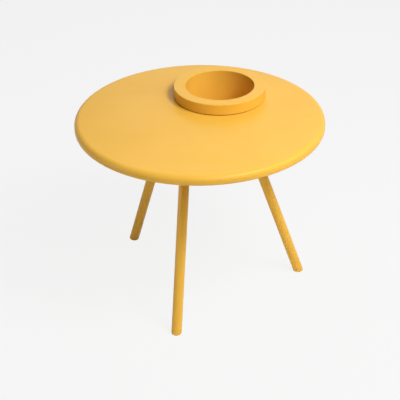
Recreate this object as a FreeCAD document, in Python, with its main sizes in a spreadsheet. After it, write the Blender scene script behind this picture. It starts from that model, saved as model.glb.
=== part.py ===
import FreeCAD, Part
import math
import os
from types import SimpleNamespace

import Sketcher
from FreeCAD import Vector

# A round side table of powder-coated steel on three splayed tube legs. A deep pot hangs in an off-centre
# hole of the tabletop. Its broad hollow rim covers a raised collar round the hole, and it lifts out.
# Origin: on the floor, under the middle of the round top. +Z is up, and the pot is on the +Y side.

# Driving dimensions, in millimetres and degrees. A bearing turns from +X towards +Y.
SIZES = {
    # Tabletop, one spun sheet with a rounded edge, a hemmed skirt and a raised collar round the pot
    "top_diameter": 600.0,
    "table_height": 466.0,
    "top_sheet": 1.5,
    "edge_radius": 12.0,
    "skirt_height": 22.0,
    "hem_width": 12.0,
    "hem_radius": 4.0,
    "collar_gap": 2.5,
    "collar_bend": 3.0,
    # Pot, its rim, its drain and the soft trim that it rests on
    "pot_offset": 118.0,
    "pot_bore": 170.0,
    "pot_depth": 150.0,
    "pot_sheet": 1.5,
    "pot_corner": 14.0,
    "rim_diameter": 227.0,
    "rim_rise": 28.5,
    "rim_gap": 2.0,
    "rim_sheet": 2.0,
    "rim_edge": 1.5,
    "trim_wall": 1.4,
    "trim_grip": 9.0,
    "trim_clearance": 0.1,
    "drain_diameter": 18.0,
    "plug_clearance": 0.15,
    "plug_head_diameter": 30.0,
    "plug_head_height": 3.5,
    "plug_grip_diameter": 12.0,
    "plug_grip_height": 9.0,
    "plug_nose_height": 4.0,
    "plug_nose_taper": 1.5,
    # Steel plate that carries the leg sockets under the top
    "plate_diameter": 460.0,
    "plate_thickness": 3.0,
    "plate_margin": 3.0,
    "plate_stud_circle": 205.0,
    # Legs and their feet
    "front_leg_bearing": -83.6,
    "right_leg_bearing": 23.8,
    "left_leg_bearing": 157.2,
    "leg_circle": 96.5,
    "leg_turn": 7.3,
    "leg_splay": 19.0,
    "leg_diameter": 25.0,
    "leg_wall": 1.5,
    "cap_height": 12.0,
    "cap_spigot": 22.0,
    "cap_clearance": 0.1,
    "sole_edge": 4.0,
    # Cast sockets that hold the legs
    "socket_wall": 3.5,
    "socket_clearance": 0.1,
    "socket_length": 56.0,
    "socket_roof": 8.0,
    "flange_thickness": 6.0,
    "lobe_circle": 28.0,
    "lobe_angle": 45.0,
    "lobe_radius": 8.0,
    "cast_fillet": 1.5,
    "cast_edge": 0.8,
    "lock_depth": 34.0,
    "lock_diameter": 6.0,
    "lock_length": 7.0,
    "lock_key": 3.0,
    "lock_key_depth": 3.5,
    "lock_boss_diameter": 13.0,
    "lock_boss_rise": 2.5,
    # Studs, washers and nuts, all of one thread
    "thread_diameter": 5.0,
    "thread_clearance": 0.1,
    "hole_clearance": 0.25,
    "stud_head_diameter": 8.0,
    "stud_head_height": 1.2,
    "stud_spare": 2.0,
    "washer_diameter": 10.0,
    "washer_thickness": 1.0,
    "nut_flats": 8.0,
    "nut_height": 4.0,
}

LEGS = ("front", "right", "left")
PLATE_STUDS = 6
LEFT, RIGHT = 1, -1
# Two lengths that differ by less than this count as equal, in millimetres
CLOSE = 0.01

doc = FreeCAD.newDocument("planter_side_table")
sheet = doc.addObject("Spreadsheet::Sheet", "Sizes")
for row, (alias, number) in enumerate(SIZES.items(), start=1):
    sheet.set(f"A{row}", alias)
    sheet.set(f"B{row}", str(number))
    sheet.setAlias(f"B{row}", alias)
doc.recompute()


class Size:
    """A number and the sheet formula that gives it, so that sums of sizes stay bound to the sheet."""

    def __init__(self, number, formula):
        self.number = number
        self.formula = formula

    def __add__(self, other):
        other = as_size(other)
        return Size(self.number + other.number, f"({self.formula} + {other.formula})")

    def __sub__(self, other):
        other = as_size(other)
        return Size(self.number - other.number, f"({self.formula} - {other.formula})")

    def __mul__(self, other):
        other = as_size(other)
        return Size(self.number * other.number, f"({self.formula} * {other.formula})")

    def __truediv__(self, other):
        other = as_size(other)
        return Size(self.number / other.number, f"({self.formula} / {other.formula})")

    def __neg__(self):
        return Size(-self.number, f"(0 - {self.formula})")


def as_size(value):
    return value if isinstance(value, Size) else Size(value, str(value))


def cosine(angle):
    return Size(math.cos(math.radians(angle.number)), f"cos({angle.formula} * 1 deg)")


def sine(angle):
    return Size(math.sin(math.radians(angle.number)), f"sin({angle.formula} * 1 deg)")


size = SimpleNamespace(**{alias: Size(number, f"Sizes.{alias}") for alias, number in SIZES.items()})
NONE = as_size(0.0)

# Heights above the floor, from the top down
rim_top = size.table_height + size.rim_rise
rim_underside = rim_top - size.rim_sheet
collar_top = rim_underside - size.trim_wall
top_underside = size.table_height - size.top_sheet
plate_underside = top_underside - size.plate_thickness
pot_floor = rim_top - size.pot_depth
pot_underside = pot_floor - size.pot_sheet

# The round top's radius about its own axis
top_radius = size.top_diameter / 2

# Radii about the pot's axis, from the inside out
bore_radius = size.pot_bore / 2
pot_radius = bore_radius + size.pot_sheet
collar_inside = pot_radius + size.collar_gap
collar_outside = collar_inside + size.top_sheet
collar_foot = collar_outside + size.collar_bend
rim_radius = size.rim_diameter / 2
drain_radius = size.drain_diameter / 2

# The legs' common measures. A leg's axis crosses the plate's underside on the leg circle, and leans
# outward in a direction that is turned a little from that point's bearing.
leg_radius = size.leg_diameter / 2
splay_sine = sine(size.leg_splay)
splay_cosine = cosine(size.leg_splay)
leg_run = plate_underside / splay_cosine
leg_reach = leg_run * splay_sine
socket_bore = leg_radius + size.socket_clearance
socket_radius = socket_bore + size.socket_wall
bearings = {leg: getattr(size, f"{leg}_leg_bearing") for leg in LEGS}
leans = {leg: bearing + size.leg_turn for leg, bearing in bearings.items()}

thread_radius = size.thread_diameter / 2
parts = {}


def keep(node, item):
    """Names a finished sub-part, whose label is also its file's name."""
    item.Label = node
    parts[node] = item
    return item


def bind(item, **formulas):
    for name, value in formulas.items():
        item.setExpression(name, as_size(value).formula)


def place(item, x=NONE, y=NONE, z=NONE, bearing=NONE, tilt=NONE):
    """Puts an item at a point, tilted about its own Y and then turned to a bearing about Z."""
    point = f"create(<<vector>>; {as_size(x).formula}; {as_size(y).formula}; {as_size(z).formula})"
    turn = f"create(<<rotation>>; {as_size(bearing).formula}; {as_size(tilt).formula}; 0)"
    item.setExpression("Placement", f"create(<<placement>>; {point}; {turn})")
    return item


def cylinder(name, radius, height, **where):
    item = doc.addObject("Part::Cylinder", name)
    bind(item, Radius=radius, Height=height)
    return place(item, **where)


def hexagon(name, flats, height, **where):
    """A hexagonal prism of a given width across its flats."""
    item = doc.addObject("Part::Prism", name)
    item.Polygon = 6
    bind(item, Circumradius=flats / math.sqrt(3.0), Height=height)
    return place(item, **where)


def group(name, items):
    item = doc.addObject("Part::Compound", name)
    item.Links = items
    return item


def cut(name, base, tool):
    item = doc.addObject("Part::Cut", name)
    item.Base = base
    item.Tool = tool
    return item


def fuse(name, items):
    item = doc.addObject("Part::MultiFuse", name)
    item.Shapes = items
    return item


def round_edges(name, base, radius, chosen):
    """Rounds the edges of base that the chosen test picks, by a size read from the sheet."""
    doc.recompute()
    item = doc.addObject("Part::Fillet", name)
    item.Base = base
    found = [number for number, edge in enumerate(base.Shape.Edges, start=1) if chosen(edge)]
    item.Edges = [(number, radius.number, radius.number) for number in found]
    return item


def new_body(name):
    return doc.addObject("PartDesign::Body", name)


def new_sketch(body, name, role, lift=NONE):
    """A sketch on one of the body's own origin planes, lifted off it along its normal."""
    plane = next(item for item in body.Origin.OriginFeatures if item.Role == role)
    sketch = body.newObject("Sketcher::SketchObject", name)
    sketch.AttachmentSupport = [(plane, "")]
    sketch.MapMode = "FlatFace"
    sketch.setExpression("AttachmentOffset.Base.z", lift.formula)
    return sketch


def dimension(sketch, kind, places, value):
    number = sketch.addConstraint(Sketcher.Constraint(kind, *places, value.number))
    sketch.setExpression(f"Constraints[{number}]", value.formula)


def pin_point(sketch, geometry, end, across, up):
    """Ties one end of a sketch line or arc to its two coordinates; a zero puts it on the axis."""
    for value, axis, kind in ((across, -2, "DistanceX"), (up, -1, "DistanceY")):
        if value is NONE:
            sketch.addConstraint(Sketcher.Constraint("PointOnObject", geometry, end, axis))
        else:
            dimension(sketch, kind, (-1, 1, geometry, end), value)


def arc_between(start, end, radius, turn):
    """The arc of under half a circle from start to end that turns left or right."""
    chord = end - start
    side = Vector(-chord.y, chord.x, 0).normalize() * turn
    rise = math.sqrt(max(radius**2 - (chord.Length / 2) ** 2, 0.0))
    centre = start + chord * 0.5 + side * rise
    first, last = (start, end) if turn == LEFT else (end, start)
    angles = [math.atan2(point.y - centre.y, point.x - centre.x) for point in (first, last)]
    if angles[1] < angles[0]:
        angles[1] += 2 * math.pi
    return Part.ArcOfCircle(Part.Circle(centre, Vector(0, 0, 1), radius), *angles)


def outline(sketch, corners):
    """A closed outline of (across, up) corners; (across, up, radius, turn) is one that an arc leads to."""
    points = [Vector(corner[0].number, corner[1].number, 0) for corner in corners]
    pieces = []
    for index, corner in enumerate(corners):
        start, end = points[index - 1], points[index]
        if len(corner) == 2:
            geometry = sketch.addGeometry(Part.LineSegment(start, end))
            pieces.append((geometry, 1, 2))
        else:
            radius, turn = corner[2:]
            geometry = sketch.addGeometry(arc_between(start, end, radius.number, turn))
            pieces.append((geometry, 1, 2) if turn == LEFT else (geometry, 2, 1))
    for index, (geometry, first, last) in enumerate(pieces):
        following, its_first, its_last = pieces[(index + 1) % len(pieces)]
        sketch.addConstraint(Sketcher.Constraint("Coincident", geometry, last, following, its_first))
        pin_point(sketch, geometry, last, corners[index][0], corners[index][1])
        if len(corners[index]) > 2:
            dimension(sketch, "Radius", (geometry,), corners[index][2])


def revolve(body, name, sketch, axis="V_Axis"):
    feature = body.newObject("PartDesign::Revolution", name)
    feature.Profile = sketch
    feature.ReferenceAxis = (sketch, [axis])
    feature.Angle = 360.0
    return feature


def turned_part(node, corners):
    """A body turned about the pot's axis from an outline of (radius, height) corners."""
    body = new_body(node)
    profile = new_sketch(body, f"{node}_profile", "XZ_Plane")
    outline(profile, corners)
    revolve(body, f"{node}_turned", profile)
    place(body, y=size.pot_offset)
    return keep(node, body)


def make_tabletop():
    body = new_body("tabletop")
    skirt_bottom = size.table_height - size.skirt_height
    hem_top = skirt_bottom + size.top_sheet
    hem_bend = skirt_bottom + size.hem_radius
    hem_edge = top_radius - size.hem_width
    edge_start = top_radius - size.edge_radius
    edge_end = size.table_height - size.edge_radius
    skirt_inside = top_radius - size.top_sheet
    hem_start = top_radius - size.hem_radius
    shell = new_sketch(body, "shell_profile", "XZ_Plane")
    outline(shell, [
        (NONE, size.table_height),
        (edge_start, size.table_height),
        (top_radius, edge_end, size.edge_radius, RIGHT),
        (top_radius, hem_bend),
        (hem_start, skirt_bottom, size.hem_radius, RIGHT),
        (hem_edge, skirt_bottom),
        (hem_edge, hem_top),
        (hem_start, hem_top),
        (skirt_inside, hem_bend, size.hem_radius - size.top_sheet, LEFT),
        (skirt_inside, edge_end),
        (edge_start, top_underside, size.edge_radius - size.top_sheet, LEFT),
        (NONE, top_underside),
    ])
    revolve(body, "shell", shell)
    opening = new_sketch(body, "pot_opening", "XY_Plane", lift=size.table_height)
    centre = Vector(0, size.pot_offset.number, 0)
    ring = opening.addGeometry(Part.Circle(centre, Vector(0, 0, 1), collar_foot.number))
    pin_point(opening, ring, 3, NONE, size.pot_offset)
    dimension(opening, "Radius", (ring,), collar_foot)
    pocket = body.newObject("PartDesign::Pocket", "pot_opening_cut")
    pocket.Profile = opening
    pocket.Type = "ThroughAll"
    section = new_sketch(body, "collar_profile", "YZ_Plane")
    bend_top = size.table_height + size.collar_bend
    outline(section, [
        (size.pot_offset + collar_foot, size.table_height),
        (size.pot_offset + collar_outside, bend_top, size.collar_bend, RIGHT),
        (size.pot_offset + collar_outside, collar_top),
        (size.pot_offset + collar_inside, collar_top),
        (size.pot_offset + collar_inside, bend_top),
        (size.pot_offset + collar_foot, top_underside, size.collar_bend + size.top_sheet, LEFT),
    ])
    axis_foot = Vector(size.pot_offset.number, 0, 0)
    axis_head = Vector(size.pot_offset.number, collar_top.number, 0)
    line = section.addGeometry(Part.LineSegment(axis_foot, axis_head), True)
    pin_point(section, line, 1, size.pot_offset, NONE)
    pin_point(section, line, 2, size.pot_offset, collar_top)
    revolve(body, "collar", section, axis="Axis0")
    return keep("tabletop", body)


def make_pot():
    """The cup, whose top edge is welded to the underside of the rim."""
    corner_start = bore_radius - size.pot_corner
    corner_top = pot_floor + size.pot_corner
    turned_part("planter_pot", [
        (drain_radius, pot_floor),
        (corner_start, pot_floor),
        (bore_radius, corner_top, size.pot_corner, LEFT),
        (bore_radius, rim_underside),
        (pot_radius, rim_underside),
        (pot_radius, corner_top),
        (corner_start, pot_underside, size.pot_corner + size.pot_sheet, RIGHT),
        (drain_radius, pot_underside),
    ])


def make_rim():
    """A flat ring with a skirt, hollow underneath so that it fits over the collar."""
    skirt_bottom = size.table_height + size.rim_gap
    rim_inside = rim_radius - size.rim_sheet
    edge_bottom = rim_top - size.rim_edge
    turned_part("planter_rim", [
        (bore_radius, rim_underside),
        (bore_radius, edge_bottom),
        (bore_radius + size.rim_edge, rim_top, size.rim_edge, RIGHT),
        (rim_radius - size.rim_edge, rim_top),
        (rim_radius, edge_bottom, size.rim_edge, RIGHT),
        (rim_radius, skirt_bottom),
        (rim_inside, skirt_bottom),
        (rim_inside, rim_underside),
    ])


def make_collar_trim():
    """A soft channel pushed over the collar's edge, which the pot's rim rests on."""
    grip_bottom = collar_top - size.trim_grip
    slot_inside = collar_inside - size.trim_clearance
    slot_outside = collar_outside + size.trim_clearance
    inside = slot_inside - size.trim_wall
    outside = slot_outside + size.trim_wall
    turned_part("collar_trim", [
        (inside, grip_bottom),
        (slot_inside, grip_bottom),
        (slot_inside, collar_top),
        (slot_outside, collar_top),
        (slot_outside, grip_bottom),
        (outside, grip_bottom),
        (outside, rim_underside),
        (inside, rim_underside),
    ])


def make_drain_plug():
    """A rubber plug pushed up into the drain from below, with a grip to pull it out by."""
    head_radius = size.plug_head_diameter / 2
    grip_radius = size.plug_grip_diameter / 2
    stem_radius = drain_radius - size.plug_clearance
    head_bottom = pot_underside - size.plug_head_height
    grip_bottom = head_bottom - size.plug_grip_height
    nose_top = pot_floor + size.plug_nose_height
    turned_part("drain_plug", [
        (NONE, grip_bottom),
        (grip_radius, grip_bottom),
        (grip_radius, head_bottom),
        (head_radius, head_bottom),
        (head_radius, pot_underside),
        (stem_radius, pot_underside),
        (stem_radius, pot_floor),
        (stem_radius - size.plug_nose_taper, nose_top),
        (NONE, nose_top),
    ])


def plate_stud_spots():
    """Where the plate is bolted to the top, evenly round the table and clear of the pot."""
    spots = []
    for index in range(PLATE_STUDS):
        angle = as_size(360.0 * index / PLATE_STUDS)
        spots.append((size.plate_stud_circle * cosine(angle), size.plate_stud_circle * sine(angle)))
    return spots


def lobe_angles():
    """The three lobes of a socket's flange, measured from the direction in which its leg leans."""
    return (-size.lobe_angle, size.lobe_angle, as_size(180.0))


def beside_leg_top(leg, distance, direction):
    """A point in the plan, at a distance and direction from where the leg's axis meets the plate."""
    across = size.leg_circle * cosine(bearings[leg]) + distance * cosine(direction)
    along = size.leg_circle * sine(bearings[leg]) + distance * sine(direction)
    return across, along


def socket_stud_spots():
    """Where the leg sockets are bolted to the plate, one stud in each lobe."""
    spots = []
    for leg in LEGS:
        for angle in lobe_angles():
            spots.append(beside_leg_top(leg, size.lobe_circle, leans[leg] + angle))
    return spots


def make_mounting_plate():
    hole_radius = thread_radius + size.hole_clearance
    head_radius = size.stud_head_diameter / 2
    recess_radius = head_radius + size.hole_clearance
    recess_bottom = top_underside - size.stud_head_height
    blank = cylinder("plate_blank", size.plate_diameter / 2, size.plate_thickness, z=plate_underside)
    pot_hole = cylinder("plate_pot_hole", collar_foot + size.plate_margin, size.plate_thickness,
                        y=size.pot_offset, z=plate_underside)
    holes = [pot_hole]
    for x, y in plate_stud_spots() + socket_stud_spots():
        holes.append(cylinder("plate_stud_hole", hole_radius, size.plate_thickness,
                              x=x, y=y, z=plate_underside))
        holes.append(cylinder("plate_head_recess", recess_radius, size.stud_head_height,
                              x=x, y=y, z=recess_bottom))
    keep("mounting_plate", cut("mounting_plate", blank, group("plate_holes", holes)))


def make_fasteners(family, spots, seat):
    """Studs with flush heads in the plate's upper face, and a washer and a nut on each below the seat."""
    washer_bottom = seat - size.washer_thickness
    nut_bottom = washer_bottom - size.nut_height
    stud_bottom = nut_bottom - size.stud_spare
    head_bottom = top_underside - size.stud_head_height
    head_radius = size.stud_head_diameter / 2
    hole_radius = thread_radius + size.thread_clearance
    washer_hole = thread_radius + size.hole_clearance
    studs, washers, washer_holes, nuts, nut_holes = [], [], [], [], []
    for x, y in spots:
        shank = cylinder(f"{family}_shank", thread_radius, top_underside - stud_bottom,
                         x=x, y=y, z=stud_bottom)
        head = cylinder(f"{family}_head", head_radius, size.stud_head_height, x=x, y=y, z=head_bottom)
        studs.append(fuse(f"{family}_stud", [shank, head]))
        washers.append(cylinder(f"{family}_washer", size.washer_diameter / 2, size.washer_thickness,
                                x=x, y=y, z=washer_bottom))
        washer_holes.append(cylinder(f"{family}_washer_hole", washer_hole, size.washer_thickness,
                                     x=x, y=y, z=washer_bottom))
        nuts.append(hexagon(f"{family}_nut", size.nut_flats, size.nut_height, x=x, y=y, z=nut_bottom))
        nut_holes.append(cylinder(f"{family}_nut_hole", hole_radius, size.nut_height,
                                  x=x, y=y, z=nut_bottom))
    keep(f"{family}_studs", group(f"{family}_studs", studs))
    keep(f"{family}_washers", cut(f"{family}_washers", group(f"{family}_discs", washers),
                                  group(f"{family}_disc_holes", washer_holes)))
    keep(f"{family}_nuts", cut(f"{family}_nuts", group(f"{family}_hexagons", nuts),
                               group(f"{family}_hexagon_holes", nut_holes)))


def along_leg(distance):
    """A point on the leg's axis in the socket's frame, at a distance from the plate's underside."""
    return {"x": distance * splay_sine, "z": -(distance * splay_cosine)}


def lock_screw_start(radius):
    """The point at a radius from the leg's axis on the lock screw's line, on the table's inner side."""
    point = along_leg(size.lock_depth)
    return {"x": point["x"] - radius * splay_cosine, "z": point["z"] - radius * splay_sine,
            "tilt": -(size.leg_splay + 90.0)}


def flange_outline():
    """The socket's flange: three round lobes joined by straight flanks."""
    side_flank = size.lobe_angle / 2 + 90.0
    flanks = (-side_flank, NONE, side_flank, -side_flank)
    corners = []
    for index, angle in enumerate(lobe_angles()):
        across = size.lobe_circle * cosine(angle)
        along = size.lobe_circle * sine(angle)
        ends = []
        for flank in flanks[index:index + 2]:
            ends.append((across + size.lobe_radius * cosine(flank), along + size.lobe_radius * sine(flank)))
        corners.append(ends[0])
        corners.append((*ends[1], size.lobe_radius, LEFT))
    return corners


def make_socket(leg):
    """A cast socket: a lobed flange against the plate, and a sleeve that leans outward with the leg."""
    node = f"leg_socket_{leg}"
    flange_body = new_body(f"{node}_flange_body")
    flange_sketch = new_sketch(flange_body, f"{node}_flange_outline", "XY_Plane")
    outline(flange_sketch, flange_outline())
    flange = flange_body.newObject("PartDesign::Pad", f"{node}_flange")
    flange.Profile = flange_sketch
    flange.Reversed = True
    bind(flange, Length=size.flange_thickness)
    tilt = -size.leg_splay
    sleeve = cylinder(f"{node}_sleeve", socket_radius, size.socket_length, tilt=tilt,
                      **along_leg(size.socket_length))
    boss_length = socket_radius + size.lock_boss_rise - leg_radius
    boss = cylinder(f"{node}_boss", size.lock_boss_diameter / 2, boss_length,
                    **lock_screw_start(leg_radius))
    solid = fuse(f"{node}_solid", [flange_body, sleeve, boss])
    spare = size.socket_length
    above = doc.addObject("Part::Box", f"{node}_above")
    bind(above, Length=spare * 2, Width=spare * 2, Height=spare)
    place(above, x=-spare, y=-spare)
    trimmed = cut(f"{node}_trimmed", solid, above)
    rooted = round_edges(f"{node}_rooted", trimmed, size.cast_fillet, is_sleeve_root)
    rounded = round_edges(f"{node}_rounded", rooted, size.cast_edge, is_cast_edge)
    holes = [
        cylinder(f"{node}_bore", socket_bore, size.socket_length - size.socket_roof, tilt=tilt,
                 **along_leg(size.socket_length)),
        cylinder(f"{node}_lock_hole", size.lock_diameter / 2 + size.thread_clearance,
                 socket_radius + size.lock_boss_rise, **lock_screw_start(NONE)),
    ]
    stud_hole = thread_radius + size.hole_clearance
    for angle in lobe_angles():
        holes.append(cylinder(f"{node}_stud_hole", stud_hole, size.flange_thickness,
                              x=size.lobe_circle * cosine(angle), y=size.lobe_circle * sine(angle),
                              z=-size.flange_thickness))
    socket = cut(node, rounded, group(f"{node}_holes", holes))
    place_at_leg_top(socket, leg)
    keep(node, socket)


def is_under_flange(edge):
    """An edge that lies in the lower face of a socket's flange."""
    flat = edge.BoundBox.ZMax - edge.BoundBox.ZMin < CLOSE
    at_flange = abs(edge.BoundBox.ZMax + size.flange_thickness.number) < CLOSE
    return flat and at_flange


def is_sleeve_root(edge):
    """The edge where the leaning sleeve meets the underside of its flange."""
    return is_under_flange(edge) and isinstance(edge.Curve, Part.Ellipse)


def is_cast_edge(edge):
    """The flange's lower outline, the mouth of the sleeve and the end of the boss."""
    if isinstance(edge.Curve, Part.Circle):
        ends = (socket_radius.number, size.lock_boss_diameter.number / 2)
        is_end = any(abs(edge.Curve.Radius - radius) < CLOSE for radius in ends)
        return is_end or is_under_flange(edge)
    return is_under_flange(edge) and isinstance(edge.Curve, Part.Line)


def place_at_leg_top(item, leg, tilt=NONE):
    x, y = beside_leg_top(leg, NONE, NONE)
    place(item, x=x, y=y, z=plate_underside, bearing=leans[leg], tilt=tilt)


def make_leg(leg):
    """A plain tube with square-cut ends, from the socket's roof to the shoulder of its foot cap."""
    node = f"leg_{leg}"
    length = leg_run - size.cap_height - size.socket_roof
    bottom = size.cap_height - leg_run
    tube = cylinder(f"{node}_outside", leg_radius, length, z=bottom)
    hollow = cylinder(f"{node}_inside", leg_radius - size.leg_wall, length, z=bottom)
    item = cut(node, tube, hollow)
    place_at_leg_top(item, leg, tilt=-size.leg_splay)
    keep(node, item)


def make_foot_cap(leg):
    """A moulded cap: a spigot in the tube, and a body cut flat along the floor with a rounded sole."""
    node = f"foot_cap_{leg}"
    tilt = -size.leg_splay
    below = size.leg_diameter
    body = cylinder(f"{node}_body", leg_radius, below + size.cap_height, tilt=tilt,
                    x=below * splay_sine, z=-(below * splay_cosine))
    spigot_radius = leg_radius - size.leg_wall - size.cap_clearance
    spigot = cylinder(f"{node}_spigot", spigot_radius, size.cap_spigot, tilt=tilt,
                      x=-(size.cap_height * splay_sine), z=size.cap_height * splay_cosine)
    floor = doc.addObject("Part::Box", f"{node}_floor")
    bind(floor, Length=below * 4, Width=below * 4, Height=below * 2)
    place(floor, x=-(below * 2), y=-(below * 2), z=-(below * 2))
    trimmed = cut(f"{node}_trimmed", fuse(f"{node}_solid", [body, spigot]), floor)
    cap = round_edges(node, trimmed, size.sole_edge, lambda edge: abs(edge.BoundBox.ZMax) < CLOSE)
    x, y = beside_leg_top(leg, leg_reach, leans[leg])
    place(cap, x=x, y=y, bearing=leans[leg])
    keep(node, cap)


def make_lock_screws():
    """Set screws that press on the legs through the sockets' bosses, with a hexagonal recess each."""
    screws = []
    for leg in LEGS:
        shank = cylinder(f"lock_shank_{leg}", size.lock_diameter / 2, size.lock_length,
                         **lock_screw_start(leg_radius))
        key_bottom = leg_radius + size.lock_length - size.lock_key_depth
        key = hexagon(f"lock_key_{leg}", size.lock_key, size.lock_key_depth, **lock_screw_start(key_bottom))
        screw = cut(f"lock_screw_{leg}", shank, key)
        place_at_leg_top(screw, leg)
        screws.append(screw)
    keep("leg_lock_screws", group("leg_lock_screws", screws))


def check_document():
    for item in doc.Objects:
        if "Invalid" in item.State or "Error" in item.State:
            raise RuntimeError(f"{item.Name} is {item.State}")
    for node, item in parts.items():
        if item.Shape.isNull() or not item.Shape.isValid():
            raise RuntimeError(f"{node} has no valid shape")


make_tabletop()
make_pot()
make_rim()
make_collar_trim()
make_drain_plug()
make_mounting_plate()
make_fasteners("plate", plate_stud_spots(), plate_underside)
make_fasteners("socket", socket_stud_spots(), plate_underside - size.flange_thickness)
for leg_name in LEGS:
    make_socket(leg_name)
    make_leg(leg_name)
    make_foot_cap(leg_name)
make_lock_screws()
doc.recompute()
check_document()

os.makedirs("parts", exist_ok=True)
for node_name, part in parts.items():
    part.Shape.exportStep(os.path.join("parts", f"{node_name}.step"))
    print(f"{node_name}: {len(part.Shape.Solids)} solid(s), {part.Shape.Volume / 1000.0:.2f} cm3")
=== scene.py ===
import math

import bmesh
import bpy
from mathutils import Matrix, Quaternion, Vector


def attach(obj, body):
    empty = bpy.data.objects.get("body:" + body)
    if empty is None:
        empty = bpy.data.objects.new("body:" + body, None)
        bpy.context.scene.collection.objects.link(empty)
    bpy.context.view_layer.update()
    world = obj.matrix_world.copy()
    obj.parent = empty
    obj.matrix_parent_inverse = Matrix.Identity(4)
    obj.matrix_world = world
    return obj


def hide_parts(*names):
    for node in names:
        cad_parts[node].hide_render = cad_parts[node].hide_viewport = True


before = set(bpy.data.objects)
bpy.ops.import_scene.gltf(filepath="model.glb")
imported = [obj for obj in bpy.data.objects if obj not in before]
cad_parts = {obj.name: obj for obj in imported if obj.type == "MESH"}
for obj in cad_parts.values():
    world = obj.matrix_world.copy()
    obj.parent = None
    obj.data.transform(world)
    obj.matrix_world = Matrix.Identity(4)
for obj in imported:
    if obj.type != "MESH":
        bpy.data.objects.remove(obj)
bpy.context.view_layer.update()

# The table's sizes, as in the CAD model: lengths in metres, angles in degrees
TABLE_HEIGHT = 0.466
TOP_RADIUS = 0.300
TOP_SHEET = 0.0015
EDGE_RADIUS = 0.012
SKIRT_HEIGHT = 0.022
HEM_WIDTH = 0.012
HEM_RADIUS = 0.004
COLLAR_INSIDE = 0.089
COLLAR_TOP = 0.4911
COLLAR_BEND = 0.003
POT_OFFSET = 0.118
BORE_RADIUS = 0.085
POT_SHEET = 0.0015
POT_CORNER = 0.014
POT_FLOOR = 0.3445
DRAIN_RADIUS = 0.009
RIM_RADIUS = 0.1135
RIM_TOP = 0.4945
RIM_SHEET = 0.002
RIM_GAP = 0.002
RIM_EDGE = 0.0015
TRIM_WALL = 0.0014
TRIM_GRIP = 0.009
TRIM_CLEARANCE = 0.0001
PLUG_CLEARANCE = 0.00015
PLUG_HEAD_RADIUS = 0.015
PLUG_HEAD_HEIGHT = 0.0035
PLUG_GRIP_RADIUS = 0.006
PLUG_GRIP_HEIGHT = 0.009
PLUG_NOSE_HEIGHT = 0.004
PLUG_NOSE_TAPER = 0.0015
PLATE_UNDERSIDE = 0.4615
PLATE_STUD_CIRCLE = 0.205
PLATE_STUDS = 6
BEARINGS = {"front": -83.6, "right": 23.8, "left": 157.2}
LEG_CIRCLE = 0.0965
LEG_TURN = 7.3
LEG_SPLAY = 19.0
LEG_RADIUS = 0.0125
LEG_WALL = 0.0015
CAP_HEIGHT = 0.012
CAP_SPIGOT = 0.022
CAP_CLEARANCE = 0.0001
SOLE_EDGE = 0.004
SOCKET_ROOF = 0.008
FLANGE_THICKNESS = 0.006
LOBE_CIRCLE = 0.028
LOBE_ANGLES = (-45.0, 45.0, 180.0)
LOCK_DEPTH = 0.034
LOCK_RADIUS = 0.003
LOCK_LENGTH = 0.007
LOCK_KEY = 0.003
LOCK_KEY_DEPTH = 0.0035
THREAD_RADIUS = 0.0025
STUD_HEAD_RADIUS = 0.004
STUD_HEAD_HEIGHT = 0.0012
STUD_SPARE = 0.002
WASHER_RADIUS = 0.005
WASHER_HOLE = 0.00275
WASHER_THICKNESS = 0.001
NUT_FLATS = 0.008
NUT_HEIGHT = 0.004
NUT_HOLE = 0.0026

# Finishing details that the CAD model leaves out, in metres
SHEET_BREAK = 0.0005
TUBE_BREAK = 0.0004
MOULD_BREAK = 0.0006
CUT_BREAK = 0.0002
LOCK_TIP_BREAK = 0.0006
LOCK_END_BREAK = 0.0004
THREAD_PITCH = 0.0008
THREAD_DEPTH = 0.0004
NUT_CUT = 0.0009

# The plug's ribs, and where the groove above a rib has its full depth, in rib heights from the rib's bottom
PLUG_RIBS = 3
GROOVE_START = 1.4
GROOVE_END = 1.7

# A nut's round face as a share of its flats, its cut corners' slope, and the turn between nuts in degrees
NUT_FACE = 0.95
NUT_SLOPE = 0.58
NUT_TURN = 47.0

# Colours, as linear red, green and blue, and roughness; each drifts between two values
COAT_COLOURS = ((0.80, 0.443, 0.051), (0.83, 0.463, 0.061))
COAT_ROUGHNESS = (0.31, 0.37)
COAT_SPECULAR = 0.15
NYLON_COLOURS = ((0.78, 0.433, 0.049), (0.81, 0.453, 0.059))
NYLON_ROUGHNESS = (0.45, 0.58)
STEEL_COLOURS = ((0.55, 0.55, 0.54), (0.66, 0.66, 0.65))
STEEL_ROUGHNESS = (0.24, 0.38)
RUBBER_COLOURS = ((0.018, 0.018, 0.018), (0.035, 0.034, 0.032))
RUBBER_ROUGHNESS = (0.62, 0.78)

# Most of a cloudy pattern lies between these two values
CLOUD_LOW = 0.3
CLOUD_HIGH = 0.7

# Light and surroundings
BACKGROUND = 0.935
FLOOR_COLOUR = 0.85
FLOOR_ROUGHNESS = 0.9
FLOOR_GLOW = 0.92
FLOOR_REACH = 12.0
AMBIENT = 0.0
LIGHT_TARGET = Vector((0, 0, 0.4))
LIGHT_DISTANCE = 2.4

# The photograph's camera, found from the outlines of the top, the rim and the legs
FRAME_PIXELS = 400
FOCAL_PIXELS = 1071.2
SENSOR_WIDTH = 36.0
VIEW_AZIMUTH = 25.2
VIEW_PITCH = 31.27
VIEW_ROLL = -0.72
CAMERA_SIDE = -0.0018
CAMERA_BACK = 2.2989
CAMERA_HEIGHT = 1.6236

# Mesh fineness
LARGE_STEPS = 256
TUBE_STEPS = 64
SMALL_STEPS = 36
ARC_STEP = math.radians(9.0)
ARC_STEPS_LEAST = 3
SHARP_ANGLE = math.radians(35.0)
BRIDGE_RINGS = 12
SOLE_RINGS = 10
THREAD_ROWS = 8
NUT_CUT_ROWS = 3

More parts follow.
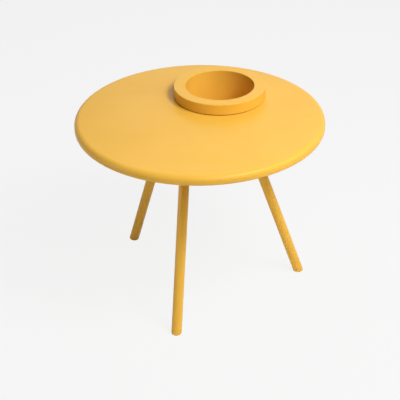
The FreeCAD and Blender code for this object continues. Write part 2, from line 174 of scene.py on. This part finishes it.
# Lengths that follow from the sizes
COLLAR_OUTSIDE = COLLAR_INSIDE + TOP_SHEET
TOP_UNDERSIDE = TABLE_HEIGHT - TOP_SHEET
SKIRT_BOTTOM = TABLE_HEIGHT - SKIRT_HEIGHT
RIM_UNDERSIDE = RIM_TOP - RIM_SHEET
POT_UNDERSIDE = POT_FLOOR - POT_SHEET
LEG_RUN = PLATE_UNDERSIDE / math.cos(math.radians(LEG_SPLAY))


def new_material(name):
    """A material with its node tree and its main shader."""
    material = bpy.data.materials.new(name)
    material.use_nodes = True
    return material, material.node_tree, material.node_tree.nodes["Principled BSDF"]


def noise(tree, scale, detail):
    """A cloudy pattern in the piece's own space; its scale is in features per metre."""
    coordinates = tree.nodes.new("ShaderNodeTexCoord")
    texture = tree.nodes.new("ShaderNodeTexNoise")
    texture.inputs["Scale"].default_value = scale
    texture.inputs["Detail"].default_value = detail
    tree.links.new(coordinates.outputs["Object"], texture.inputs["Vector"])
    return texture.outputs["Fac"]


def spread(tree, pattern, low, high):
    """Maps a cloudy pattern to a range of values."""
    scale = tree.nodes.new("ShaderNodeMapRange")
    scale.inputs["From Min"].default_value = CLOUD_LOW
    scale.inputs["From Max"].default_value = CLOUD_HIGH
    scale.inputs["To Min"].default_value = low
    scale.inputs["To Max"].default_value = high
    tree.links.new(pattern, scale.inputs["Value"])
    return scale.outputs["Result"]


def vary_colour(tree, shader, pattern, colours):
    """Lets the base colour drift from one colour to another."""
    mix = tree.nodes.new("ShaderNodeMix")
    mix.data_type = "RGBA"
    mix.inputs["A"].default_value = (*colours[0], 1)
    mix.inputs["B"].default_value = (*colours[1], 1)
    tree.links.new(spread(tree, pattern, 0.0, 1.0), mix.inputs["Factor"])
    tree.links.new(mix.outputs["Result"], shader.inputs["Base Color"])


def vary_roughness(tree, shader, pattern, limits):
    """Lets the gloss drift between two values of roughness."""
    tree.links.new(spread(tree, pattern, *limits), shader.inputs["Roughness"])


def add_bump(tree, shader, pattern, strength, depth):
    """Gives the surface a relief; its depth is in metres."""
    bump = tree.nodes.new("ShaderNodeBump")
    bump.inputs["Strength"].default_value = strength
    bump.inputs["Distance"].default_value = depth
    tree.links.new(pattern, bump.inputs["Height"])
    tree.links.new(bump.outputs["Normal"], shader.inputs["Normal"])


def make_coat(name, peel, depth):
    """Satin powder coat: a fine orange peel, with small drifts of colour and gloss."""
    material, tree, shader = new_material(name)
    vary_colour(tree, shader, noise(tree, scale=9.0, detail=2.0), COAT_COLOURS)
    vary_roughness(tree, shader, noise(tree, scale=55.0, detail=3.0), COAT_ROUGHNESS)
    shader.inputs["Specular IOR Level"].default_value = COAT_SPECULAR
    add_bump(tree, shader, noise(tree, scale=peel, detail=2.0), strength=0.12, depth=depth)
    return material


def make_nylon():
    """Moulded nylon in the coat's colour, duller, with a fine spark-eroded grain."""
    material, tree, shader = new_material("yellow_nylon")
    vary_colour(tree, shader, noise(tree, scale=120.0, detail=3.0), NYLON_COLOURS)
    vary_roughness(tree, shader, noise(tree, scale=900.0, detail=2.0), NYLON_ROUGHNESS)
    shader.inputs["Specular IOR Level"].default_value = COAT_SPECULAR
    add_bump(tree, shader, noise(tree, scale=2600.0, detail=2.0), strength=0.15, depth=0.0001)
    return material


def make_steel():
    """Plain stainless fasteners: fine turning marks, which lie level, and a drifting gloss."""
    material, tree, shader = new_material("stainless")
    shader.inputs["Metallic"].default_value = 1.0
    vary_colour(tree, shader, noise(tree, scale=400.0, detail=2.0), STEEL_COLOURS)
    vary_roughness(tree, shader, noise(tree, scale=1500.0, detail=3.0), STEEL_ROUGHNESS)
    coordinates = tree.nodes.new("ShaderNodeTexCoord")
    marks = tree.nodes.new("ShaderNodeTexWave")
    marks.bands_direction = "Z"
    marks.inputs["Scale"].default_value = 900.0
    marks.inputs["Distortion"].default_value = 3.0
    tree.links.new(coordinates.outputs["Object"], marks.inputs["Vector"])
    add_bump(tree, shader, marks.outputs["Fac"], strength=0.15, depth=0.00005)
    return material


def make_rubber():
    """Dull dark rubber with a bloom of paler patches."""
    material, tree, shader = new_material("dark_rubber")
    vary_colour(tree, shader, noise(tree, scale=160.0, detail=4.0), RUBBER_COLOURS)
    vary_roughness(tree, shader, noise(tree, scale=700.0, detail=2.0), RUBBER_ROUGHNESS)
    add_bump(tree, shader, noise(tree, scale=1800.0, detail=3.0), strength=0.3, depth=0.0002)
    return material


coat = make_coat("yellow_coat", peel=750.0, depth=0.0002)
cast_coat = make_coat("cast_coat", peel=420.0, depth=0.0006)
nylon = make_nylon()
steel = make_steel()
rubber = make_rubber()


def arc_points(start, end, count):
    """Points from one vector to another of the same length, along the arc between them."""
    turn = start.angle(end)
    points = []
    for step in range(count + 1):
        share = step / count
        blend = start * math.sin((1 - share) * turn) + end * math.sin(share * turn)
        points.append(blend / math.sin(turn))
    return points


def rounded(corners):
    """The outline through (across, up) corners; a third number rounds that corner by its radius."""
    points = []
    for index, corner in enumerate(corners):
        place = Vector(corner[:2])
        if len(corner) == 2:
            points.append(place)
            continue
        before = (Vector(corners[index - 1][:2]) - place).normalized()
        after = (Vector(corners[(index + 1) % len(corners)][:2]) - place).normalized()
        half = before.angle(after) / 2
        reach = corner[2] / math.tan(half)
        centre = place + (before + after).normalized() * (corner[2] / math.sin(half))
        steps = max(ARC_STEPS_LEAST, math.ceil((math.pi - 2 * half) / ARC_STEP))
        for point in arc_points(place + before * reach - centre, place + after * reach - centre, steps):
            points.append(centre + point)
    return points


def ring(radius, height, steps, offset=0.0):
    """A level ring about the Z axis, or about one moved along Y; the radius may depend on the angle."""
    points = []
    for step in range(steps):
        angle = 2 * math.pi * step / steps
        reach = radius(angle) if callable(radius) else radius
        points.append(Vector((reach * math.cos(angle), offset + reach * math.sin(angle), height)))
    return points


def turned(outline, steps, offset=0.0):
    """The rings that an outline sweeps when it is turned about an upright axis."""
    return [ring(point[0], point[1], steps, offset) for point in outline]


def add_skin(mesh, rings, matrix=None, closed=True):
    """Skins rings of points. A closed skin joins its last ring to its first; an open one is capped."""
    rows = []
    for points in rings:
        rows.append([mesh.verts.new(matrix @ point if matrix else point) for point in points])
    following = rows[1:] + rows[:1] if closed else rows[1:]
    for row, next_row in zip(rows, following):
        for index in range(len(row)):
            mesh.faces.new((row[index - 1], row[index], next_row[index], next_row[index - 1]))
    if not closed:
        mesh.faces.new(rows[0])
        mesh.faces.new(rows[-1])


def finish_piece(name, mesh, nodes, body, material):
    """Turns a mesh into a piece that stands for CAD nodes and moves with their body."""
    bmesh.ops.recalc_face_normals(mesh, faces=mesh.faces)
    data = bpy.data.meshes.new(name)
    mesh.to_mesh(data)
    mesh.free()
    data.shade_smooth()
    data.set_sharp_from_angle(angle=SHARP_ANGLE)
    data.materials.append(material)
    piece = bpy.data.objects.new(name, data)
    bpy.context.scene.collection.objects.link(piece)
    normals = piece.modifiers.new("even_normals", "WEIGHTED_NORMAL")
    normals.keep_sharp = True
    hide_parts(*nodes)
    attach(piece, body)


def turned_piece(name, outline, node, body, material):
    """A piece turned about the pot's axis from one closed outline."""
    mesh = bmesh.new()
    add_skin(mesh, turned(outline, LARGE_STEPS, POT_OFFSET))
    finish_piece(name, mesh, [node], body, material)


def make_top():
    """One sheet: its outer edge is turned about the table's axis and its collar about the pot's."""
    # The flat between the edge and the collar starts and ends well clear of their bends
    flat_start = TOP_RADIUS - 2 * EDGE_RADIUS
    flat_end = COLLAR_OUTSIDE + 4 * COLLAR_BEND
    skirt_inside = TOP_RADIUS - TOP_SHEET
    hem_top = SKIRT_BOTTOM + TOP_SHEET
    hem_edge = TOP_RADIUS - HEM_WIDTH
    edge = rounded([
        (flat_start, TABLE_HEIGHT),
        (TOP_RADIUS, TABLE_HEIGHT, EDGE_RADIUS),
        (TOP_RADIUS, SKIRT_BOTTOM, HEM_RADIUS),
        (hem_edge, SKIRT_BOTTOM, SHEET_BREAK),
        (hem_edge, hem_top, SHEET_BREAK),
        (skirt_inside, hem_top, HEM_RADIUS - TOP_SHEET),
        (skirt_inside, TOP_UNDERSIDE, EDGE_RADIUS - TOP_SHEET),
        (flat_start, TOP_UNDERSIDE),
    ])
    collar = rounded([
        (flat_end, TOP_UNDERSIDE),
        (COLLAR_INSIDE, TOP_UNDERSIDE, COLLAR_BEND + TOP_SHEET),
        (COLLAR_INSIDE, COLLAR_TOP, SHEET_BREAK),
        (COLLAR_OUTSIDE, COLLAR_TOP, SHEET_BREAK),
        (COLLAR_OUTSIDE, TABLE_HEIGHT, COLLAR_BEND),
        (flat_end, TABLE_HEIGHT),
    ])

    def flat_ring(share, height):
        """A ring of the flat, part of the way from the edge to the collar."""
        radius = flat_start + (flat_end - flat_start) * share
        return ring(radius, height, LARGE_STEPS, POT_OFFSET * share)

    shares = [(step + 1) / (BRIDGE_RINGS + 1) for step in range(BRIDGE_RINGS)]
    rings = turned(edge, LARGE_STEPS)
    rings.extend(flat_ring(share, TOP_UNDERSIDE) for share in shares)
    rings.extend(turned(collar, LARGE_STEPS, POT_OFFSET))
    rings.extend(flat_ring(share, TABLE_HEIGHT) for share in reversed(shares))
    mesh = bmesh.new()
    add_skin(mesh, rings)
    finish_piece("top_sheet", mesh, ["tabletop"], "table", coat)


def make_pot():
    """The pot's cup, from the drain in its floor up to the rim that is welded on it."""
    pot_radius = BORE_RADIUS + POT_SHEET
    turned_piece("pot_cup", rounded([
        (DRAIN_RADIUS, POT_FLOOR, SHEET_BREAK),
        (BORE_RADIUS, POT_FLOOR, POT_CORNER),
        (BORE_RADIUS, RIM_UNDERSIDE),
        (pot_radius, RIM_UNDERSIDE),
        (pot_radius, POT_UNDERSIDE, POT_CORNER + POT_SHEET),
        (DRAIN_RADIUS, POT_UNDERSIDE, SHEET_BREAK),
    ]), "planter_pot", "pot", coat)


def make_rim():
    """The pot's broad rim, a flat ring with a wall that ends just above the top."""
    inside = RIM_RADIUS - RIM_SHEET
    bottom = TABLE_HEIGHT + RIM_GAP
    turned_piece("pot_rim", rounded([
        (BORE_RADIUS, RIM_UNDERSIDE),
        (BORE_RADIUS, RIM_TOP, RIM_EDGE),
        (RIM_RADIUS, RIM_TOP, RIM_EDGE),
        (RIM_RADIUS, bottom, SHEET_BREAK),
        (inside, bottom, SHEET_BREAK),
        (inside, RIM_UNDERSIDE),
    ]), "planter_rim", "pot", coat)


def make_trim():
    """The soft channel on the collar's edge, on which the rim rests."""
    bottom = COLLAR_TOP - TRIM_GRIP
    slot_inside = COLLAR_INSIDE - TRIM_CLEARANCE
    slot_outside = COLLAR_OUTSIDE + TRIM_CLEARANCE
    turned_piece("collar_channel", rounded([
        (slot_inside - TRIM_WALL, bottom, MOULD_BREAK),
        (slot_inside, bottom, MOULD_BREAK),
        (slot_inside, COLLAR_TOP),
        (slot_outside, COLLAR_TOP),
        (slot_outside, bottom, MOULD_BREAK),
        (slot_outside + TRIM_WALL, bottom, MOULD_BREAK),
        (slot_outside + TRIM_WALL, RIM_UNDERSIDE, TRIM_WALL),
        (slot_inside - TRIM_WALL, RIM_UNDERSIDE, TRIM_WALL),
    ]), "collar_trim", "table", rubber)


def make_plug():
    """The drain plug, with a ribbed grip below its head and a tapered nose above the pot's floor."""
    head_bottom = POT_UNDERSIDE - PLUG_HEAD_HEIGHT
    grip_bottom = head_bottom - PLUG_GRIP_HEIGHT
    nose_top = POT_FLOOR + PLUG_NOSE_HEIGHT
    stem = DRAIN_RADIUS - PLUG_CLEARANCE
    waist = PLUG_GRIP_RADIUS - 2 * MOULD_BREAK
    rib = PLUG_GRIP_HEIGHT / (2 * PLUG_RIBS)
    corners = [(MOULD_BREAK, grip_bottom)]
    for index in range(PLUG_RIBS):
        bottom = grip_bottom + 2 * index * rib
        corners.append((PLUG_GRIP_RADIUS, bottom, MOULD_BREAK))
        corners.append((PLUG_GRIP_RADIUS, bottom + rib, MOULD_BREAK))
        corners.append((waist, bottom + GROOVE_START * rib, MOULD_BREAK / 2))
        if index < PLUG_RIBS - 1:
            corners.append((waist, bottom + GROOVE_END * rib, MOULD_BREAK / 2))
    corners.extend([
        (waist, head_bottom),
        (PLUG_HEAD_RADIUS, head_bottom, 2 * MOULD_BREAK),
        (PLUG_HEAD_RADIUS, POT_UNDERSIDE, MOULD_BREAK),
        (stem, POT_UNDERSIDE),
        (stem, POT_FLOOR),
        (stem - PLUG_NOSE_TAPER, nose_top, 2 * MOULD_BREAK),
        (MOULD_BREAK, nose_top),
    ])
    mesh = bmesh.new()
    add_skin(mesh, turned(rounded(corners), TUBE_STEPS, POT_OFFSET), closed=False)
    finish_piece("plug", mesh, ["drain_plug"], "plug", rubber)


def leg_plan(leg):
    """The place in the plan where a leg meets the plate, turned to the direction in which the leg leans."""
    bearing = math.radians(BEARINGS[leg])
    top = Vector((LEG_CIRCLE * math.cos(bearing), LEG_CIRCLE * math.sin(bearing), 0))
    return Matrix.Translation(top) @ Matrix.Rotation(bearing + math.radians(LEG_TURN), 4, "Z")


def leg_matrix(leg):
    """From a frame whose Z runs up the leg and whose origin is on the plate's underside."""
    rise = Matrix.Translation((0, 0, PLATE_UNDERSIDE))
    return leg_plan(leg) @ rise @ Matrix.Rotation(-math.radians(LEG_SPLAY), 4, "Y")


def make_leg(leg):
    """A straight tube from the roof of its socket down to its foot cap."""
    bottom = CAP_HEIGHT - LEG_RUN
    inside = LEG_RADIUS - LEG_WALL
    outline = rounded([
        (inside, bottom, TUBE_BREAK),
        (LEG_RADIUS, bottom, TUBE_BREAK),
        (LEG_RADIUS, -SOCKET_ROOF, TUBE_BREAK),
        (inside, -SOCKET_ROOF, TUBE_BREAK),
    ])
    mesh = bmesh.new()
    add_skin(mesh, turned(outline, TUBE_STEPS), leg_matrix(leg))
    finish_piece(f"leg_tube_{leg}", mesh, [f"leg_{leg}"], "table", coat)


def make_foot(leg):
    """A cap cut flat along the floor; its sole is rounded as by a ball rolled between wall and floor."""
    along_leg = leg_matrix(leg)
    foot = along_leg @ Vector((0, 0, -LEG_RUN))
    outward, across, up_leg = along_leg.to_3x3().transposed()
    angles = [2 * math.pi * step / TUBE_STEPS for step in range(TUBE_STEPS)]
    normals = [outward * math.cos(angle) + across * math.sin(angle) for angle in angles]
    spigot = LEG_RADIUS - LEG_WALL - CAP_CLEARANCE
    spigot_top = CAP_HEIGHT + CAP_SPIGOT
    shoulder = rounded([
        (spigot - 2 * MOULD_BREAK, spigot_top),
        (spigot, spigot_top, MOULD_BREAK),
        (spigot, CAP_HEIGHT),
        (LEG_RADIUS, CAP_HEIGHT, TUBE_BREAK),
        (LEG_RADIUS, SOLE_EDGE),
    ])
    # The shoulder's last point only gives its wall a direction; the sole's arcs start at their own heights
    rings = []
    for radius, height in shoulder[:-1]:
        rings.append([foot + normal * radius + up_leg * height for normal in normals])
    arcs = []
    for normal in normals:
        spoke = normal * (LEG_RADIUS - SOLE_EDGE)
        ball = foot + spoke + up_leg * ((SOLE_EDGE - spoke.z) / up_leg.z)
        arc = arc_points(normal * SOLE_EDGE, Vector((0, 0, -SOLE_EDGE)), SOLE_RINGS)
        arcs.append([ball + point for point in arc])
    rings.extend(map(list, zip(*arcs)))
    mesh = bmesh.new()
    add_skin(mesh, rings, closed=False)
    finish_piece(f"foot_{leg}", mesh, [f"foot_cap_{leg}"], "table", nylon)


def hexagon(flats, limit):
    """The radius of a hexagon at an angle, no larger than a limit."""
    def radius(angle):
        return min(limit, flats / 2 / math.cos((angle + math.pi / 6) % (math.pi / 3) - math.pi / 6))
    return radius


def stud_spots(family):
    """Where each stud of a family stands, in the plan."""
    spots = []
    if family == "plate":
        for index in range(PLATE_STUDS):
            turn = Matrix.Rotation(2 * math.pi * index / PLATE_STUDS, 3, "Z")
            spots.append(turn @ Vector((PLATE_STUD_CIRCLE, 0, 0)))
    else:
        for leg in BEARINGS:
            for angle in LOBE_ANGLES:
                turn = Matrix.Rotation(math.radians(angle), 3, "Z")
                spots.append(leg_plan(leg) @ (turn @ Vector((LOBE_CIRCLE, 0, 0))))
    return spots


def washer_rings(top):
    """A flat washer with broken edges."""
    bottom = top - WASHER_THICKNESS
    return turned(rounded([
        (WASHER_HOLE, bottom, CUT_BREAK),
        (WASHER_RADIUS, bottom, CUT_BREAK),
        (WASHER_RADIUS, top, CUT_BREAK),
        (WASHER_HOLE, top, CUT_BREAK),
    ]), SMALL_STEPS)


def nut_rings(top):
    """A nut with a round bearing face and its six corners cut away at both ends."""
    bottom = top - NUT_HEIGHT
    face = NUT_FLATS / 2 * NUT_FACE
    cuts = [NUT_CUT * row / NUT_CUT_ROWS for row in range(NUT_CUT_ROWS + 1)]
    rings = [
        ring(NUT_HOLE, bottom + CUT_BREAK, SMALL_STEPS),
        ring(NUT_HOLE + CUT_BREAK, bottom, SMALL_STEPS),
    ]
    for cut in cuts:
        rings.append(ring(hexagon(NUT_FLATS, face + cut), bottom + cut * NUT_SLOPE, SMALL_STEPS))
    for cut in reversed(cuts):
        rings.append(ring(hexagon(NUT_FLATS, face + cut), top - cut * NUT_SLOPE, SMALL_STEPS))
    rings.append(ring(NUT_HOLE + CUT_BREAK, top, SMALL_STEPS))
    rings.append(ring(NUT_HOLE, top - CUT_BREAK, SMALL_STEPS))
    return rings


def thread(height, depth):
    """The radius of a threaded stud at an angle: a groove that climbs one pitch in each turn."""
    def radius(angle):
        turn = (height / THREAD_PITCH - angle / (2 * math.pi)) % 1.0
        return THREAD_RADIUS - depth * abs(2 * turn - 1)
    return radius


def stud_rings(nut_bottom):
    """A stud from its threaded end up to its head in the plate."""
    bottom = nut_bottom - STUD_SPARE
    rings = [ring(THREAD_RADIUS - 2 * THREAD_DEPTH, bottom, SMALL_STEPS)]
    count = round((STUD_SPARE + THREAD_PITCH) / THREAD_PITCH * THREAD_ROWS)
    for row in range(count + 1):
        height = bottom + THREAD_DEPTH + row * THREAD_PITCH / THREAD_ROWS
        fade = min(1.0, (count - row) / THREAD_ROWS)
        rings.append(ring(thread(height, THREAD_DEPTH * fade), height, SMALL_STEPS))
    head_bottom = TOP_UNDERSIDE - STUD_HEAD_HEIGHT
    rings.append(ring(THREAD_RADIUS, head_bottom, SMALL_STEPS))
    rings.append(ring(STUD_HEAD_RADIUS, head_bottom, SMALL_STEPS))
    rings.append(ring(STUD_HEAD_RADIUS, TOP_UNDERSIDE, SMALL_STEPS))
    return rings


def make_fasteners(family, seat):
    """The studs, washers and nuts of a family; each nut was left at another turn."""
    nut_top = seat - WASHER_THICKNESS
    kinds = {
        "washers": (washer_rings(seat), True),
        "nuts": (nut_rings(nut_top), True),
        "studs": (stud_rings(nut_top - NUT_HEIGHT), False),
    }
    for kind, (rings, closed) in kinds.items():
        mesh = bmesh.new()
        for index, spot in enumerate(stud_spots(family)):
            turn = Matrix.Rotation(math.radians(NUT_TURN * index), 4, "Z")
            add_skin(mesh, rings, Matrix.Translation(spot) @ turn, closed)
        finish_piece(f"{family}_{kind}_detail", mesh, [f"{family}_{kind}"], "table", steel)


def make_lock_screws():
    """Set screws with a hexagonal recess, pressed on the legs from the table's inner side."""
    key = hexagon(LOCK_KEY, LOCK_RADIUS)
    rings = [
        ring(LOCK_RADIUS - LOCK_TIP_BREAK, 0, SMALL_STEPS),
        ring(LOCK_RADIUS, LOCK_TIP_BREAK, SMALL_STEPS),
        ring(LOCK_RADIUS, LOCK_LENGTH - LOCK_END_BREAK, SMALL_STEPS),
        ring(LOCK_RADIUS - LOCK_END_BREAK, LOCK_LENGTH, SMALL_STEPS),
        ring(key, LOCK_LENGTH - CUT_BREAK, SMALL_STEPS),
        ring(key, LOCK_LENGTH - LOCK_KEY_DEPTH, SMALL_STEPS),
    ]
    place = Matrix.Translation((-LEG_RADIUS, 0, -LOCK_DEPTH)) @ Matrix.Rotation(-math.pi / 2, 4, "Y")
    mesh = bmesh.new()
    for leg in BEARINGS:
        add_skin(mesh, rings, leg_matrix(leg) @ place, closed=False)
    finish_piece("lock_screws_detail", mesh, ["leg_lock_screws"], "table", steel)


def paint(node, material):
    """Gives its material to a CAD node that shows as it is."""
    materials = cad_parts[node].data.materials
    materials.clear()
    materials.append(material)


def camera_frame_point(right, forward, up):
    """A point as seen from the camera: to its right, away from it and up, from the table's middle."""
    return Matrix.Rotation(math.radians(VIEW_AZIMUTH), 3, "Z") @ Vector((right, forward, up))


def make_camera():
    """The camera from which the photograph was taken."""
    data = bpy.data.cameras.new("camera")
    data.sensor_width = SENSOR_WIDTH
    data.lens = FOCAL_PIXELS / FRAME_PIXELS * SENSOR_WIDTH
    camera = bpy.data.objects.new("camera", data)
    bpy.context.scene.collection.objects.link(camera)
    pitch = math.radians(VIEW_PITCH)
    look = camera_frame_point(0, math.cos(pitch), -math.sin(pitch))
    camera.location = camera_frame_point(CAMERA_SIDE, -CAMERA_BACK, CAMERA_HEIGHT)
    camera.rotation_mode = "QUATERNION"
    roll = Quaternion((0, 0, 1), math.radians(VIEW_ROLL))
    camera.rotation_quaternion = look.to_track_quat("-Z", "Y") @ roll
    bpy.context.scene.camera = camera


def make_light(name, bearing, height, size, power, spread_angle=180.0):
    """A square soft light, in degrees, metres and watts, that faces the table.

    Its bearing turns from the camera's right towards the scene's far side, and its height is an angle too.
    """
    data = bpy.data.lights.new(name, "AREA")
    data.shape = "SQUARE"
    data.size = size
    data.energy = power
    data.spread = math.radians(spread_angle)
    light = bpy.data.objects.new(name, data)
    level = LIGHT_DISTANCE * math.cos(math.radians(height))
    right = level * math.cos(math.radians(bearing))
    forward = level * math.sin(math.radians(bearing))
    spot = camera_frame_point(right, forward, LIGHT_DISTANCE * math.sin(math.radians(height)))
    light.location = spot + LIGHT_TARGET
    light.rotation_euler = (-spot).to_track_quat("-Z", "Y").to_euler()
    bpy.context.scene.collection.objects.link(light)


def seen_directly(tree):
    """1 for a ray that shows the surroundings, straight or by reflection, and 0 for one that lights."""
    path = tree.nodes.new("ShaderNodeLightPath")
    total = path.outputs["Is Camera Ray"]
    for kind in ("Is Glossy Ray", "Is Transmission Ray"):
        either = tree.nodes.new("ShaderNodeMath")
        either.operation = "MAXIMUM"
        tree.links.new(total, either.inputs[0])
        tree.links.new(path.outputs[kind], either.inputs[1])
        total = either.outputs["Value"]
    return total


def make_floor():
    """A pale floor that shows mostly its own glow, and keeps a faint shadow of the table."""
    mesh = bpy.data.meshes.new("floor")
    signs = ((-1, -1), (1, -1), (1, 1), (-1, 1))
    mesh.from_pydata([(x * FLOOR_REACH, y * FLOOR_REACH, 0) for x, y in signs], [], [(0, 1, 2, 3)])
    floor = bpy.data.objects.new("floor", mesh)
    bpy.context.scene.collection.objects.link(floor)
    material, tree, shader = new_material("floor")
    shader.inputs["Base Color"].default_value = (FLOOR_COLOUR, FLOOR_COLOUR, FLOOR_COLOUR, 1)
    shader.inputs["Roughness"].default_value = FLOOR_ROUGHNESS
    shader.inputs["Specular IOR Level"].default_value = 0.0
    glow = tree.nodes.new("ShaderNodeEmission")
    glow.inputs["Color"].default_value = (BACKGROUND, BACKGROUND, BACKGROUND, 1)
    share = tree.nodes.new("ShaderNodeMath")
    share.operation = "MULTIPLY"
    share.inputs[1].default_value = FLOOR_GLOW
    mix = tree.nodes.new("ShaderNodeMixShader")
    tree.links.new(seen_directly(tree), share.inputs[0])
    tree.links.new(share.outputs["Value"], mix.inputs["Fac"])
    tree.links.new(shader.outputs["BSDF"], mix.inputs[1])
    tree.links.new(glow.outputs["Emission"], mix.inputs[2])
    tree.links.new(mix.outputs["Shader"], tree.nodes["Material Output"].inputs["Surface"])
    mesh.materials.append(material)


def make_world():
    """A backdrop as pale as the far floor, apart from the light that the world itself sheds."""
    world = bpy.data.worlds.new("world")
    bpy.context.scene.world = world
    world.use_nodes = True
    tree = world.node_tree
    ambient = tree.nodes["Background"]
    ambient.inputs["Color"].default_value = (1, 1, 1, 1)
    ambient.inputs["Strength"].default_value = AMBIENT
    backdrop = tree.nodes.new("ShaderNodeBackground")
    far_floor = BACKGROUND * FLOOR_GLOW
    backdrop.inputs["Color"].default_value = (far_floor, far_floor, far_floor, 1)
    mix = tree.nodes.new("ShaderNodeMixShader")
    tree.links.new(seen_directly(tree), mix.inputs["Fac"])
    tree.links.new(ambient.outputs["Background"], mix.inputs[1])
    tree.links.new(backdrop.outputs["Background"], mix.inputs[2])
    tree.links.new(mix.outputs["Shader"], tree.nodes["World Output"].inputs["Surface"])


make_top()
make_pot()
make_rim()
make_trim()
make_plug()
make_fasteners("plate", PLATE_UNDERSIDE)
make_fasteners("socket", PLATE_UNDERSIDE - FLANGE_THICKNESS)
make_lock_screws()
for leg_name in BEARINGS:
    make_leg(leg_name)
    make_foot(leg_name)
    paint(f"leg_socket_{leg_name}", cast_coat)
paint("mounting_plate", coat)

make_camera()
make_floor()
make_world()
make_light("key", bearing=-34.0, height=53.0, size=0.8, power=37.5)
make_light("front", bearing=-64.0, height=45.0, size=1.4, power=29.0)
make_light("right", bearing=0.0, height=30.0, size=1.2, power=11.0)
make_light("back", bearing=80.0, height=36.0, size=1.8, power=8.5)
make_light("left", bearing=140.0, height=50.0, size=1.2, power=6.5)
make_light("low", bearing=200.0, height=-4.0, size=0.4, power=1.0, spread_angle=50.0)

bpy.context.scene.view_settings.view_transform = "Standard"
